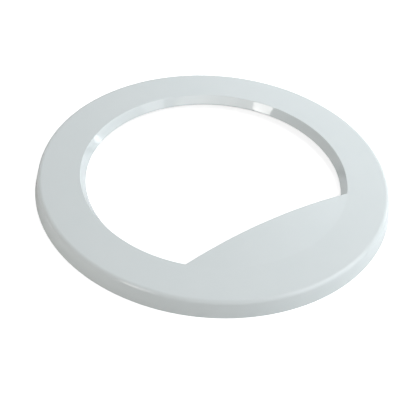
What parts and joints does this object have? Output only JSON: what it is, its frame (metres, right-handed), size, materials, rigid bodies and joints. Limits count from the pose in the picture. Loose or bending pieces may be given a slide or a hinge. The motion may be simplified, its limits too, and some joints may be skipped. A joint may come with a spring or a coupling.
{
  "type": "washing machine door trim ring",
  "caption": "Glossy white outer ring of a front-loading washing machine's door, with a bevelled window opening, a domed finger lip and a ribbed open back.",
  "frame": {"origin": "Centre of the round outline, on the plane of the back rim.", "axes": "+Z points out of the door's front face, away from the drum. +X points from the ring's centre to the middle of the finger lip. +Y follows by the right-hand rule. The ring is stored lying face up on its back rim."},
  "size_m": [0.3999, 0.4, 0.0232],
  "materials": {
    "door_panel": "gloss"
  },
  "bodies": {
    "root": {"door_panel": "door_panel"}
  },
  "joints": []
}
